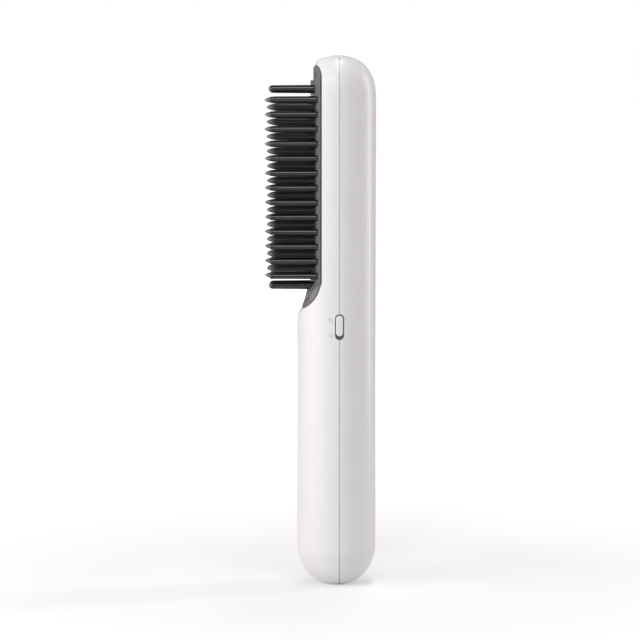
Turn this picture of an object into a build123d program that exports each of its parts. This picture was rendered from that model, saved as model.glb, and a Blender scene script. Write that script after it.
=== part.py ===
from build123d import *
import math
import os

os.makedirs("parts", exist_ok=True)

# Frame: origin at the centre of the flat lower end, +Z along the body to the head.
# The comb faces -X, the slide switch faces -Y, all sizes are millimetres.

# Body, a round tube with a domed end and a domed head
LENGTH = 246.0
RADIUS = 18.25
WALL = 2.0
DOME = 20.5
TOP_POWER = 2.45
END_POWER = 2.2
END_FLAT_RADIUS = 4.5
DOME_STEPS = 6

# Joint line between the two half shells
PARTING_X = 1.3
PARTING_GAP = 0.10
GROOVE_WIDTH = 0.55
GROOVE_DEPTH = 0.30
LIP_THICKNESS = 0.95
LIP_REACH = 1.5
LIP_CLEARANCE = 0.10
HOOK_SHARES = (0.195, 0.390, 0.618, 0.837)
HOOK_WIDTH = 6.0
HOOK_THICKNESS = 1.3
HOOK_REACH = 4.6
HOOK_CATCH = 0.6
HOOK_CATCH_DEPTH = 1.6
HOOK_ROOT_DEPTH = 4.2
HOOK_CLEARANCE = 0.25

# Clearances
FIT = 0.15
RUNNING = 0.30
SNUG = 0.05

# Battery, whose upper end the handle's other parts are placed from
CELL_RADIUS = 10.6
CELL_LENGTH = 70.2
CELL_LOW_Z = 25.4
CELL_TOP = CELL_LOW_Z + CELL_LENGTH
CELL_BUTTON_RADIUS = 4.2
CELL_BUTTON_HEIGHT = 0.6
CELL_EDGE = 0.8
CRADLE_WALL = 2.2
CRADLE_END = 2.2
CRADLE_PLAY = 0.2
CRADLE_OPEN_X = -2.0
CRADLE_END_SLOT = 5.0
CRADLE_SCREW_SHARE = 0.37
TAB_STRIP = (7.0, 0.3)
TAB_STRIP_X = (-5.0, 8.6)

# Front form of the head, turned about an upright axis behind the body.
# Ramp points are depth in front of the axis and height above the head's lower end.
HEAD_Z = CELL_TOP + 41.8
FORM_AXIS_X = 27.3
FRAME_CREST = 10.8
RAMP_START = (RADIUS + 0.75, -19.4)
RAMP_POINTS = ((18.1, -13.0), (17.7, -10.5), (16.75, -8.9), (15.75, -6.5), (14.5, -3.0), (13.8, -0.2))
RAMP_END = 5.6
CORNER_DROP = 6.2
CORNER_POINTS = ((0.9, 2.2), (2.2, 4.1), (5.7, 5.3))
CORNER_RUN = (6.0, 1.5)

# Seam where the dark comb frame meets the front shell, seen from the side
SEAM_X = -6.84
SEAM_POWER = 1.85
SEAM_HIGH_DROP = 4.5
SEAM_HIGH = (3.1, 6.0)
SEAM_LOW_RISE = 6.1
SEAM_LOW = (12.0, 14.9)

# Heated plate in the frame, with a ridge along its middle that runs on over both end pads
RIDGE_CREST = 12.1
RIDGE_CROWN = 10.5
RIDGE_WIDTH = 12.4
RIDGE_CORNER = 4.5
RIDGE_HIGH_Z = LENGTH - 11.4
PLATE_WIDTH = 17.8
PLATE_CORNER = 1.2
PLATE_LOW_Z = HEAD_Z + 5.4
PLATE_HIGH_Z = LENGTH - 18.4
DECK_FRONT = 8.0
DECK_BACK = 5.4
DECK_LOW_Z = HEAD_Z - 5.9
DECK_HIGH_Z = LENGTH - 7.0
FLANGE_WIDTH = 27.0
FLANGE_MARGIN = 2.6
FLANGE_THICKNESS = 1.5
POCKET_FLOOR = 9.0
POCKET_WIDTH = 13.0
POCKET_MARGIN = 3.0

# Teeth, in five staggered columns.
# Each form is root radius, shoulder radius, point radius and nose length.
ROW_PITCH = 6.76
EVEN_ROW_Z = HEAD_Z + 7.0
EVEN_ROWS = int((PLATE_HIGH_Z - EVEN_ROW_Z - 1.6) / ROW_PITCH) + 1
MIDDLE_COLUMN = 5.8
OUTER_COLUMN = 11.6
CENTRE_TIP = 33.3
MIDDLE_TIP = 32.35
OUTER_TIP = 31.0
GUARD_TIP = 31.4
GUARD_LOW_Z = HEAD_Z + 2.5
GUARD_HIGH_Z = LENGTH - 15.5
TOOTH_ROOT = 2.4
NOSE_KNEE = (0.45, 0.80)
CENTRE_TOOTH = (1.65, 1.55, 0.40, 5.4)
MIDDLE_TOOTH = (1.72, 1.62, 0.40, 5.6)
OUTER_TOOTH = (1.22, 1.10, 0.55, 1.3)
GUARD_TOOTH = (1.75, 1.45, 0.75, 1.9)

# Vent holes through the frame's two ends, as column and height
VENT_WIDTH = 2.6
VENT_HEIGHT = 2.7
VENT_CORNER = 0.8
LOW_VENTS = ((0.0, HEAD_Z - 5.0), (5.2, HEAD_Z - 4.8), (10.4, HEAD_Z - 4.0))
HIGH_VENTS = ((9.3, LENGTH - 9.4),)

# Heater stack behind the plate
HEATER_LENGTH = PLATE_HIGH_Z - PLATE_LOW_Z - 14.8
HEATER_WIDTH = 12.0
HEATER_THICKNESS = 1.5
SHEET_THICKNESS = 0.5
CLAMP_THICKNESS = 0.8
CLAMP_HEIGHT = 8.0
CLAMP_SHARE = 0.343
CLAMP_SCREW_Y = 11.4
SENSOR_SHARE = 0.114
SENSOR_RADIUS = 0.9
SENSOR_LENGTH = 6.0
SENSOR_PAD = (2.4, 0.5)
FUSE_RADIUS = 1.3
FUSE_LENGTH = 8.0
FUSE_CAP = (0.7, 2.0)
FUSE_PAD = (3.0, 0.6)

# Screws, all of one self-tapping kind
SCREW_RADIUS = 0.9
SCREW_HOLE = 1.1
HEAD_RADIUS = 1.8
HEAD_THICKNESS = 1.2
SCREW_BITE = 4.4
FRAME_HOLE_DEPTH = 3.2
BOSS_RADIUS = 2.6
TAB_THICKNESS = 2.0
TAB_HEIGHT = 5.0
TAB_Y = 7.8
TAB_INNER_Y = 5.2
TAB_LOW_Z = HEAD_Z - 1.0
TAB_HIGH_Z = LENGTH - 13.0

# Main circuit board
BOARD_X = 3.6
BOARD_THICKNESS = 1.3
BOARD_LOW_Z = CELL_TOP + 7.4
BOARD_LENGTH = 77.0
BOARD_HIGH_Z = BOARD_LOW_Z + BOARD_LENGTH
BOARD_WIDTH = 27.0
BOARD_CORNER = 2.0
BOARD_SCREW_INSET = 3.4
# Parts on the board, as height of their faces, side and height ranges from the board's lower end
CHIP = (1.0, (-3.5, 3.5), (33.0, 40.0))
COIL = (3.2, (3.0, 9.8), (47.0, 53.8))
LOW_PLUG = (4.2, (-4.0, 4.0), (1.6, 6.6))
HIGH_PLUG = (4.2, (-5.0, 5.0), (67.0, 72.0))
POWER_SWITCHES = (1.1, 5.0, (-8.0, -1.4), (47.0, 53.0))
CAPACITORS = (5.0, 2.5, (-9.0, 9.0), 61.0)

# Slide switch on the side of the handle
SWITCH_Z = CELL_TOP + 25.75
SLOT_LENGTH = 11.9
SLOT_WIDTH = 4.18
KNOB_LENGTH = 9.5
KNOB_WIDTH = 3.2
KNOB_END_GAP = 0.60
KNOB_TRAVEL = SLOT_LENGTH - KNOB_LENGTH - KNOB_END_GAP - RUNNING
KNOB_PROUD = 0.35
KNOB_CHAMFER = 0.28
PEG = (4.0, 1.6)
SHUTTER_Y = 15.2
SHUTTER_THICKNESS = 0.9
SHUTTER_WIDTH = 6.2
SHUTTER_LENGTH = 15.0
SHUTTER_CORNER = 1.0
FORK_X = (1.3, 2.7)
FORK_THICKNESS = 1.0
FORK_DEPTH = 0.7
LEVER_WIDTH = 1.6
LEVER_THICKNESS = 0.8
LEVER_DEPTH = 2.0
SWITCH_FACE_Y = 13.4
SWITCH_DEPTH = 4.6
SWITCH_LENGTH = 11.0
SWITCH_FRONT = 2.1

# Temperature button and its lights on the front of the handle
BUTTON_BOARD_LOW_Z = CELL_TOP + 1.2
BUTTON_BOARD_LENGTH = 27.0
BUTTON_Z = BUTTON_BOARD_LOW_Z + 9.4
BUTTON_RADIUS = 3.8
BUTTON_TRAVEL = 0.4
BUTTON_RECESS = 0.25
BUTTON_FLANGE = 0.9
FLANGE_X = -15.0
BUTTON_FLANGE_THICKNESS = 0.85
BUTTON_BOARD_X = -10.9
BUTTON_BOARD_THICKNESS = 1.0
BUTTON_BOARD_WIDTH = 13.0
BUTTON_BOARD_CORNER = 1.5
POST_RADIUS = 2.2
POST_INSETS = (1.9, 2.4)
TACT_SIZE = 6.0
TACT_HEIGHT = 2.2
PLUNGER_RADIUS = 1.5
PLUNGER_LENGTH = 1.5
FIRST_LIGHT = 6.5
LIGHT_PITCH = 2.4
LIGHTS = 3
LIGHT_RADIUS = 0.8
LAMP_SIZE = (0.8, 1.6, 1.2)
GUIDE_BAR = (1.4, 2.8)
GUIDE_RECESS = 0.2

# Charging socket in the lower end
PORT_WIDTH = 8.94
PORT_HEIGHT = 3.26
PORT_WALL = 0.3
PORT_LENGTH = 7.3
PORT_BACK = 1.5
PORT_RECESS = 0.7
TONGUE = (0.7, 6.7)
TONGUE_RECESS = 0.8
SURROUND_MARGIN = 0.75
SURROUND_FLANGE = 1.3
SURROUND_FLANGE_Z = 3.6
CHARGE_BOARD_THICKNESS = 1.2
CHARGE_BOARD_WIDTH = 14.0
CHARGE_BOARD_Z = (3.9, 20.5)
REST_HEIGHTS = (10.0, 17.5)
REST_THICKNESS = 2.0
REST_WIDTH = 9.4

# Leads
LEAD_RADIUS = 0.6
LEAD_BEND = 1.6
LEAD_RING = 14.5
CHARGE_LEAD_START = (3.0, 1.4)
CHARGE_LEAD_PITCH = 2.2
CHARGE_LEAD_RISE = 5.0
RETURN_LEAD_START = (2.5, 3.5)
SUPPLY_LEAD_Y = 2.2
HEATER_LEAD_Y = 2.4
HEATER_LEAD_DEPTH = 3.0
# Turn about the axis, then side and drop of the bend below the main board's lower edge
CHARGE_LEAD_PATHS = ((62.0, 10.9, 2.2), (69.0, 9.3, 3.7))
RETURN_LEAD_PATH = (-62.0, -9.3, 2.2)

# How far cutting blocks reach beyond the body
BEYOND = 2 * RADIUS


def block(x, y, z):
    """A block between low and high values on each axis."""
    size = Box(x[1] - x[0], y[1] - y[0], z[1] - z[0])
    return Pos((x[0] + x[1]) / 2, (y[0] + y[1]) / 2, (z[0] + z[1]) / 2) * size


def rod_x(radius, x, y, z):
    """A round rod along X between two values of x."""
    rod = Cylinder(radius, x[1] - x[0], align=(Align.CENTER, Align.CENTER, Align.MIN))
    return Pos(x[0], y, z) * Rot(0, 90, 0) * rod


def rod_z(radius, x, y, z):
    """A round rod along Z between two values of z."""
    rod = Cylinder(radius, z[1] - z[0], align=(Align.CENTER, Align.CENTER, Align.MIN))
    return Pos(x, y, z[0]) * rod


def pill_y(length, width, y, x, z):
    """A round-ended bar, long in Z, extruded along Y."""
    plane = Plane((x, y[0], z), x_dir=(0, 0, 1), z_dir=(0, 1, 0))
    return extrude(plane * SlotOverall(length, width), y[1] - y[0])


def pill_z(width, height, z, x):
    """A round-ended bar, wide in Y, extruded along Z."""
    plane = Plane((x, 0, z[0]), x_dir=(0, 1, 0), z_dir=(0, 0, 1))
    return extrude(plane * SlotOverall(width, height), z[1] - z[0])


def quarter(radius, height, power):
    """Points of a superellipse quarter from its rim to its pole."""
    points = []
    for step in range(DOME_STEPS + 1):
        turn = math.pi / 2 * step / DOME_STEPS
        across = radius * abs(math.cos(turn)) ** (2 / power)
        points.append((across, height * math.sin(turn) ** (2 / power)))
    points[-1] = (0.0, height)
    return points


def end_centre():
    """Height of the lower dome's rim, so that its flat has the wanted radius."""
    return DOME * (1 - (END_FLAT_RADIUS / RADIUS) ** END_POWER) ** (1 / END_POWER)


def slab(low, high):
    """A slice through the whole body between two depths."""
    return block((low, high), (-BEYOND, BEYOND), (-BEYOND, LENGTH + BEYOND))


def pod(inset=0.0):
    """The turned body, drawn in by a constant inset."""
    radius = RADIUS - inset
    height = DOME - inset
    low = [(x, end_centre() - y) for x, y in quarter(radius, height, END_POWER)]
    high = [(x, LENGTH - DOME + y) for x, y in quarter(radius, height, TOP_POWER)]
    outline = Spline(low[::-1], tangents=[(1, 0), (0, 1)])
    outline += Line(low[0], high[0])
    outline += Spline(high, tangents=[(0, 1), (-1, 0)])
    outline += Line(high[-1], low[-1])
    turned = revolve(make_face(Plane.XZ * outline), Axis.Z)
    return turned & block((-BEYOND, BEYOND), (-BEYOND, BEYOND), (inset, LENGTH + BEYOND))


def front_form(inset=0.0):
    """The head's front side, its side outline turned about the upright form axis."""
    crest = inset - FRAME_CREST
    corner_z = LENGTH - CORNER_DROP - inset
    ramp = [(inset - x, HEAD_Z + z) for x, z in (RAMP_START,) + RAMP_POINTS]
    ramp.append((crest, HEAD_Z + RAMP_END))
    bend = [(crest, corner_z)] + [(crest + x, corner_z + z) for x, z in CORNER_POINTS]
    run = (bend[-1][0] + CORNER_RUN[0], bend[-1][1] + CORNER_RUN[1])
    above = LENGTH + DOME
    outline = Polyline((FORM_AXIS_X, -DOME), (ramp[0][0], -DOME), ramp[0])
    outline += Spline(ramp, tangents=[(0, 1), (0, 1)])
    outline += Line(ramp[-1], bend[0])
    outline += Spline(bend, tangents=[(0, 1), (1, CORNER_RUN[1] / CORNER_RUN[0])])
    outline += Polyline(bend[-1], run, (run[0], above), (FORM_AXIS_X, above), (FORM_AXIS_X, -DOME))
    axis = Axis((FORM_AXIS_X, 0, 0), (0, 0, 1))
    return revolve(make_face(Plane.XZ * outline), axis)


def body(inset=0.0):
    """The outer form of the closed brush body, without its ridge and teeth."""
    return pod(inset) & front_form(inset)


def seam_region(inset=0.0):
    """Everything in front of the seam, as one block through the body."""
    low_z = HEAD_Z + SEAM_LOW_RISE
    high_z = LENGTH - SEAM_HIGH_DROP - SEAM_HIGH[1]
    low_x = SEAM_X - SEAM_LOW[0]
    high_x = SEAM_X - SEAM_HIGH[0]
    curve = quarter(SEAM_LOW[0] - inset, SEAM_LOW[1] - inset, SEAM_POWER)
    low = [(low_x + x, low_z - z) for x, z in curve]
    high = (SEAM_HIGH[0] - inset, SEAM_HIGH[1] - inset)
    outline = Spline(low[::-1], tangents=[(1, 0), (0, 1)])
    outline += Line(low[0], (SEAM_X - inset, high_z))
    outline += EllipticalCenterArc((high_x, high_z), high[0], high[1], 0, arc_size=90)
    above = high_z + high[1]
    outline += Polyline((high_x, above), (-BEYOND, above), (-BEYOND, low[-1][1]), low[-1])
    return extrude(make_face(Plane.XZ * outline), BEYOND, both=True)


def screw_x(seat, y, z, toward):
    """A pan-head screw along X: its head stands on the seat, its shank goes toward a side."""
    head = sorted((seat, seat - toward * HEAD_THICKNESS))
    shank = sorted((seat - toward * HEAD_THICKNESS / 2, seat + toward * SCREW_BITE))
    return rod_x(HEAD_RADIUS, head, y, z) + rod_x(SCREW_RADIUS, shank, y, z)


def hook_blocks(side, grow=0.0):
    """Snap hooks of the rear shell on one side, or the recesses that take their catches."""
    blocks = []
    inner = RADIUS - WALL
    edge = PARTING_X - HOOK_REACH
    foot = math.sqrt(inner**2 - edge**2) - HOOK_CLEARANCE
    catch = foot + HOOK_CATCH + grow
    root = (PARTING_X + PARTING_GAP, PARTING_X + HOOK_ROOT_DEPTH)
    spans = [((edge - grow, edge + HOOK_CATCH_DEPTH + grow), (foot - HOOK_THICKNESS, catch))]
    if not grow:
        spans.append(((edge, root[1]), (foot - HOOK_THICKNESS, foot)))
        spans.append((root, (foot - HOOK_THICKNESS, inner + WALL / 10)))
    for share in HOOK_SHARES:
        half = HOOK_WIDTH / 2 + grow
        tall = (share * LENGTH - half, share * LENGTH + half)
        for x, y in spans:
            blocks.append(block(x, sorted((side * y[0], side * y[1])), tall))
    return blocks


def half_slab(side):
    """The space on one side of the joint line, less half its gap."""
    edge = PARTING_X + side * PARTING_GAP / 2
    return slab(*sorted((edge, edge + side * BEYOND)))


def joint_groove():
    """A shallow groove round the body on the joint line."""
    half = GROOVE_WIDTH / 2
    return slab(PARTING_X - half, PARTING_X + half) - pod(GROOVE_DEPTH)


def switch_slot():
    """The round-ended slot through the wall for the slide knob."""
    return pill_y(SLOT_LENGTH, SLOT_WIDTH, (-BEYOND, -RADIUS / 2), PARTING_X, SWITCH_Z)


def socket_hole():
    """The hole through the lower end that the socket's surround fills."""
    grow = 2 * (SURROUND_MARGIN + SNUG)
    return pill_z(PORT_WIDTH + grow, PORT_HEIGHT + grow, (-DOME, DOME / 2), PARTING_X)


def front_shell(skin):
    """Front half of the housing, with the opening for the comb frame."""
    shell = (skin & half_slab(-1)) - seam_region() - joint_groove()
    rebate = slab(PARTING_X - LIP_REACH - LIP_CLEARANCE, PARTING_X)
    shell -= rebate & pod(WALL - LIP_THICKNESS - LIP_CLEARANCE)
    deck_space = (DECK_LOW_Z - FIT, DECK_HIGH_Z + FIT)
    shell -= pod(WALL) & block((-BEYOND, -DECK_BACK), (-BEYOND, BEYOND), deck_space)
    for side in (-1, 1):
        shell -= hook_blocks(side, HOOK_CLEARANCE)
        for z in (TAB_LOW_Z, TAB_HIGH_Z):
            tab = block(
                (-DECK_BACK, -DECK_BACK + TAB_THICKNESS),
                sorted((side * TAB_INNER_Y, side * RADIUS)),
                (z - TAB_HEIGHT / 2, z + TAB_HEIGHT / 2),
            )
            shell += tab & pod(WALL / 2)
            hole = (-DECK_BACK - 1, -DECK_BACK + TAB_THICKNESS + 1)
            shell -= rod_x(SCREW_HOLE, hole, side * TAB_Y, z)
    shell -= switch_slot()
    shell -= socket_hole()
    shell -= rod_x(BUTTON_RADIUS + RUNNING, (-BEYOND, FLANGE_X), 0, BUTTON_Z)
    for z in light_heights():
        shell -= rod_x(LIGHT_RADIUS + SNUG, (-BEYOND, FLANGE_X), 0, z)
    for z in button_post_heights():
        shell += rod_x(POST_RADIUS, (-RADIUS + WALL / 2, BUTTON_BOARD_X), 0, z)
        bite = (BUTTON_BOARD_X - SCREW_BITE + BUTTON_BOARD_THICKNESS, BUTTON_BOARD_X + 1)
        shell -= rod_x(SCREW_RADIUS, bite, 0, z)
    return shell


def rear_shell(skin):
    """Rear half of the housing, with its lip, snap hooks, bosses and board rests."""
    shell = (skin & half_slab(1)) - joint_groove()
    ring = pod(WALL - LIP_THICKNESS) - pod(WALL)
    shell += ring & slab(PARTING_X - LIP_REACH, PARTING_X + 1)
    for side in (-1, 1):
        shell += hook_blocks(side)
    for y, z in board_screw_places():
        shell += rod_x(BOSS_RADIUS, (BOARD_X + BOARD_THICKNESS, RADIUS), y, z) & pod(WALL / 2)
        shell -= rod_x(SCREW_RADIUS, (BOARD_X - 1, BOARD_X + SCREW_BITE), y, z)
    back = CELL_RADIUS + CRADLE_PLAY + CRADLE_WALL
    for z in cradle_screw_heights():
        shell += rod_x(BOSS_RADIUS, (back, RADIUS - WALL / 2), 0, z)
        shell -= rod_x(SCREW_RADIUS, (back - 1, cradle_screw_seat() + SCREW_BITE), 0, z)
    for z in REST_HEIGHTS:
        rest = (PARTING_X + PORT_HEIGHT / 2 + CHARGE_BOARD_THICKNESS, RADIUS)
        rib = block(rest, (-REST_WIDTH / 2, REST_WIDTH / 2), (z, z + REST_THICKNESS))
        shell += rib & pod(WALL / 2)
    shell -= switch_slot()
    shell -= socket_hole()
    return shell


def plate_column(grow, back):
    """The plate's rounded outline in plan, grown by a clearance and drawn back to a depth."""
    plane = Plane((-BEYOND, 0, heater_middle()), x_dir=(0, 1, 0), z_dir=(1, 0, 0))
    tall = PLATE_HIGH_Z - PLATE_LOW_Z
    plan = RectangleRounded(PLATE_WIDTH + 2 * grow, tall + 2 * grow, PLATE_CORNER + grow)
    return extrude(plane * plan, BEYOND - back)


def ridge():
    """The ridge along the comb's middle, rounded in plan and crowned across."""
    middle = (HEAD_Z + RIDGE_HIGH_Z) / 2
    tall = RIDGE_HIGH_Z - HEAD_Z
    plane = Plane((-BEYOND, 0, middle), x_dir=(0, 1, 0), z_dir=(1, 0, 0))
    bar = extrude(plane * RectangleRounded(RIDGE_WIDTH, tall, RIDGE_CORNER), BEYOND - DECK_FRONT)
    return bar & rod_z(RIDGE_CROWN, RIDGE_CROWN - RIDGE_CREST, 0, (HEAD_Z - 1, RIDGE_HIGH_Z + 1))


def crown_depth(crest, crown, y):
    """Depth of a crowned surface in front of the axis, at a column."""
    return crest - crown + math.sqrt(crown**2 - y**2)


def face_depth(y):
    """Depth of the comb's face in front of the axis, at a column."""
    frame = crown_depth(FRAME_CREST, FORM_AXIS_X + FRAME_CREST, y)
    if abs(y) > RIDGE_WIDTH / 2:
        return frame
    return max(frame, crown_depth(RIDGE_CREST, RIDGE_CROWN, y))


def tooth(form, tip, y, z, face):
    """A turned tooth along -X that stands on the comb's face: a tapered stem and a drawn-in tip."""
    root, shoulder, point, nose = form
    seat = face_depth(y) - TOOTH_ROOT
    reach = tip - seat
    outline = Polyline(
        (0, 0),
        (0, root),
        (reach - nose, shoulder),
        (reach - nose * NOSE_KNEE[0], shoulder * NOSE_KNEE[1]),
        (reach, point),
        (reach, 0),
        (0, 0),
    )
    turned = revolve(make_face(outline), Axis.X)
    return Pos(-seat, y, z) * Rot(0, 0, 180) * turned - face


def even_rows():
    """Heights of the rows with a centre tooth and two outer teeth."""
    return [EVEN_ROW_Z + ROW_PITCH * row for row in range(EVEN_ROWS)]


def odd_rows():
    """Heights of the rows between, with two middle teeth."""
    return [z + ROW_PITCH / 2 for z in even_rows()[:-1]]


def vents():
    """Rounded openings through the frame's two ends."""
    plan = RectangleRounded(VENT_WIDTH, VENT_HEIGHT, VENT_CORNER)
    holes = []
    for column, z in LOW_VENTS + HIGH_VENTS:
        for y in sorted({-column, column}):
            plane = Plane((-BEYOND, y, z), x_dir=(0, 1, 0), z_dir=(1, 0, 0))
            holes.append(extrude(plane * plan, BEYOND - DECK_BACK + 1))
    return holes


def comb_frame(outer, cavity):
    """Dark frame round the plate, with its end pads, window, vents and stepped edge."""
    skin = (outer - cavity) & seam_region(FIT)
    skin -= (seam_region() - seam_region(FIT + GROOVE_WIDTH)) - body(GROOVE_DEPTH)
    deck = block((-DECK_FRONT, -DECK_BACK), (-BEYOND, BEYOND), (DECK_LOW_Z, DECK_HIGH_Z))
    frame = skin + (deck & pod(WALL + FIT) & front_form(WALL / 2)) + ridge()
    frame -= plate_column(RUNNING, 0)
    frame -= vents()
    for y, z in clamp_screw_places() + tab_screw_places():
        frame -= rod_x(SCREW_RADIUS, (-DECK_BACK - FRAME_HOLE_DEPTH, 0), y, z)
    return frame


def outer_teeth(face):
    """Slim blunt teeth in the two outer columns, on the frame's rails."""
    columns = [(side * OUTER_COLUMN, z) for side in (-1, 1) for z in even_rows()]
    return [tooth(OUTER_TOOTH, OUTER_TIP, y, z, face) for y, z in columns]


def guard_teeth(face):
    """Four blunt teeth on the frame's end pads."""
    heights = (GUARD_LOW_Z, GUARD_HIGH_Z)
    columns = [(side * MIDDLE_COLUMN, z) for side in (-1, 1) for z in heights]
    return [tooth(GUARD_TOOTH, GUARD_TIP, y, z, face) for y, z in columns]


def centre_teeth(face):
    """Heated teeth along the plate's middle."""
    return [tooth(CENTRE_TOOTH, CENTRE_TIP, 0, z, face) for z in even_rows()]


def middle_teeth(face):
    """Heated teeth in the two columns beside the middle."""
    columns = [(side * MIDDLE_COLUMN, z) for side in (-1, 1) for z in odd_rows()]
    return [tooth(MIDDLE_TOOTH, MIDDLE_TIP, y, z, face) for y, z in columns]


def heater_plate(face):
    """Cast plate with the ridge along it, a flange behind the frame and a pocket for the heater."""
    back = -DECK_BACK + FLANGE_THICKNESS
    tall = (PLATE_LOW_Z - FLANGE_MARGIN, PLATE_HIGH_Z + FLANGE_MARGIN)
    plate = plate_column(0, DECK_BACK) & face
    plate += block((-DECK_BACK, back), (-FLANGE_WIDTH / 2, FLANGE_WIDTH / 2), tall)
    half = POCKET_WIDTH / 2
    reach = HEATER_LENGTH / 2 + POCKET_MARGIN
    pocket = (heater_middle() - reach, heater_middle() + reach)
    plate -= block((-POCKET_FLOOR, 0), (-half, half), pocket)
    for y, z in clamp_screw_places():
        plate -= rod_x(SCREW_HOLE, (-DECK_BACK - 1, back + 1), y, z)
    return plate


def heater_middle():
    """Height of the middle of the plate and of the heater behind it."""
    return (PLATE_LOW_Z + PLATE_HIGH_Z) / 2


def stack_layer(front, thickness, width, length):
    """A flat layer of the heater stack, centred on the plate."""
    z = (heater_middle() - length / 2, heater_middle() + length / 2)
    return block((front, front + thickness), (-width / 2, width / 2), z)


def ptc_heater():
    """Ceramic heating bar on the pocket's floor."""
    return stack_layer(-POCKET_FLOOR, HEATER_THICKNESS, HEATER_WIDTH, HEATER_LENGTH)


def insulation_sheet():
    """Mica sheet over the heater."""
    front = -POCKET_FLOOR + HEATER_THICKNESS
    return stack_layer(front, SHEET_THICKNESS, HEATER_WIDTH, HEATER_LENGTH)


def clamp_heights():
    """Heights of the middles of the two clamps."""
    return [heater_middle() + side * CLAMP_SHARE * HEATER_LENGTH for side in (-1, 1)]


def clamp_screw_places():
    """Where the four screws hold the clamps and the plate to the frame."""
    return [(side * CLAMP_SCREW_Y, z) for side in (-1, 1) for z in clamp_heights()]


def tab_screw_places():
    """Where the four screws hold the frame to the front shell's tabs."""
    return [(side * TAB_Y, z) for side in (-1, 1) for z in (TAB_LOW_Z, TAB_HIGH_Z)]


def heater_clamps():
    """Two bent straps that press the heater on the plate."""
    floor = -POCKET_FLOOR + HEATER_THICKNESS + SHEET_THICKNESS
    ear = -DECK_BACK + FLANGE_THICKNESS
    leg = POCKET_WIDTH / 2 - FIT
    wing = CLAMP_SCREW_Y + HEAD_RADIUS
    clamps = []
    for z in clamp_heights():
        tall = (z - CLAMP_HEIGHT / 2, z + CLAMP_HEIGHT / 2)
        strap = block((floor, floor + CLAMP_THICKNESS), (-leg, leg), tall)
        for side in (-1, 1):
            wall = sorted((side * leg, side * (leg - CLAMP_THICKNESS)))
            strap += block((floor, ear + CLAMP_THICKNESS), wall, tall)
            flat = sorted((side * (leg - CLAMP_THICKNESS), side * wing))
            strap += block((ear, ear + CLAMP_THICKNESS), flat, tall)
            strap -= rod_x(SCREW_HOLE, (ear - 1, ear + 2), side * CLAMP_SCREW_Y, z)
        clamps.append(strap)
    return clamps


def heater_screws():
    """Four screws through the clamps and the plate's flange."""
    seat = -DECK_BACK + FLANGE_THICKNESS + CLAMP_THICKNESS
    return [screw_x(seat, y, z, -1) for y, z in clamp_screw_places()]


def frame_screws():
    """Four screws through the front shell's tabs into the frame."""
    seat = -DECK_BACK + TAB_THICKNESS
    return [screw_x(seat, y, z, -1) for y, z in tab_screw_places()]


def thermistor():
    """Temperature sensor, a bead in a small sleeve on the insulated heater."""
    front = -POCKET_FLOOR + HEATER_THICKNESS + SHEET_THICKNESS
    middle = heater_middle() - SENSOR_SHARE * HEATER_LENGTH
    tall = (middle - SENSOR_LENGTH / 2, middle + SENSOR_LENGTH / 2)
    wide, thick = SENSOR_PAD
    pad = block((front, front + thick), (-wide / 2, wide / 2), tall)
    return pad + rod_z(SENSOR_RADIUS, front + SENSOR_RADIUS, 0, tall)


def thermal_fuse():
    """One-shot cut-out, a small can with two end caps."""
    front = -POCKET_FLOOR + HEATER_THICKNESS + SHEET_THICKNESS
    middle = heater_middle() + SENSOR_SHARE * HEATER_LENGTH
    tall = (middle - FUSE_LENGTH / 2, middle + FUSE_LENGTH / 2)
    radius, reach = FUSE_CAP
    wide, thick = FUSE_PAD
    can = rod_z(FUSE_RADIUS, front + FUSE_RADIUS, 0, tall)
    can += rod_z(radius, front + FUSE_RADIUS, 0, (tall[0] - reach, tall[1] + reach))
    return can + block((front, front + thick), (-wide / 2, wide / 2), tall)


def battery_cell():
    """One lengthwise cell with its raised button end."""
    shoulder = CELL_TOP - CELL_BUTTON_HEIGHT
    cell = rod_z(CELL_RADIUS, 0, 0, (CELL_LOW_Z, shoulder))
    cell = fillet(cell.edges().filter_by(GeomType.CIRCLE), CELL_EDGE)
    return cell + rod_z(CELL_BUTTON_RADIUS, 0, 0, (shoulder - CELL_EDGE, CELL_TOP))


def cell_tabs():
    """Welded strips on the two ends of the cell."""
    wide, thin = TAB_STRIP
    span = (-wide / 2, wide / 2)
    low = block(TAB_STRIP_X, span, (CELL_LOW_Z - thin, CELL_LOW_Z))
    return [low, block(TAB_STRIP_X, span, (CELL_TOP, CELL_TOP + thin))]


def cradle_screw_heights():
    """Heights of the two screws that hold the battery cradle."""
    middle = (CELL_LOW_Z + CELL_TOP) / 2
    return [middle + side * CRADLE_SCREW_SHARE * CELL_LENGTH for side in (-1, 1)]


def cradle_screw_seat():
    """Depth of the counterbore that hides the cradle's screw heads."""
    return CELL_RADIUS + CRADLE_PLAY + HEAD_THICKNESS


def battery_cradle():
    """Open trough that holds the cell, screwed to the rear shell."""
    inner = CELL_RADIUS + CRADLE_PLAY
    gap = TAB_STRIP[1] + FIT
    low = CELL_LOW_Z - gap
    high = CELL_TOP + gap
    trough = rod_z(inner + CRADLE_WALL, 0, 0, (low - CRADLE_END, high + CRADLE_END))
    trough -= rod_z(inner, 0, 0, (low, high))
    trough &= slab(CRADLE_OPEN_X, RADIUS)
    slot = (-CRADLE_END_SLOT, CRADLE_END_SLOT)
    trough -= block((-RADIUS, inner - 4), slot, (0, LENGTH))
    for z in cradle_screw_heights():
        trough -= rod_x(SCREW_HOLE, (0, RADIUS), 0, z)
        trough -= rod_x(HEAD_RADIUS + FIT, (0, cradle_screw_seat()), 0, z)
    return trough


def cradle_screws():
    """Two screws from the trough's floor into the rear shell."""
    return [screw_x(cradle_screw_seat(), 0, z, 1) for z in cradle_screw_heights()]


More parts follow.
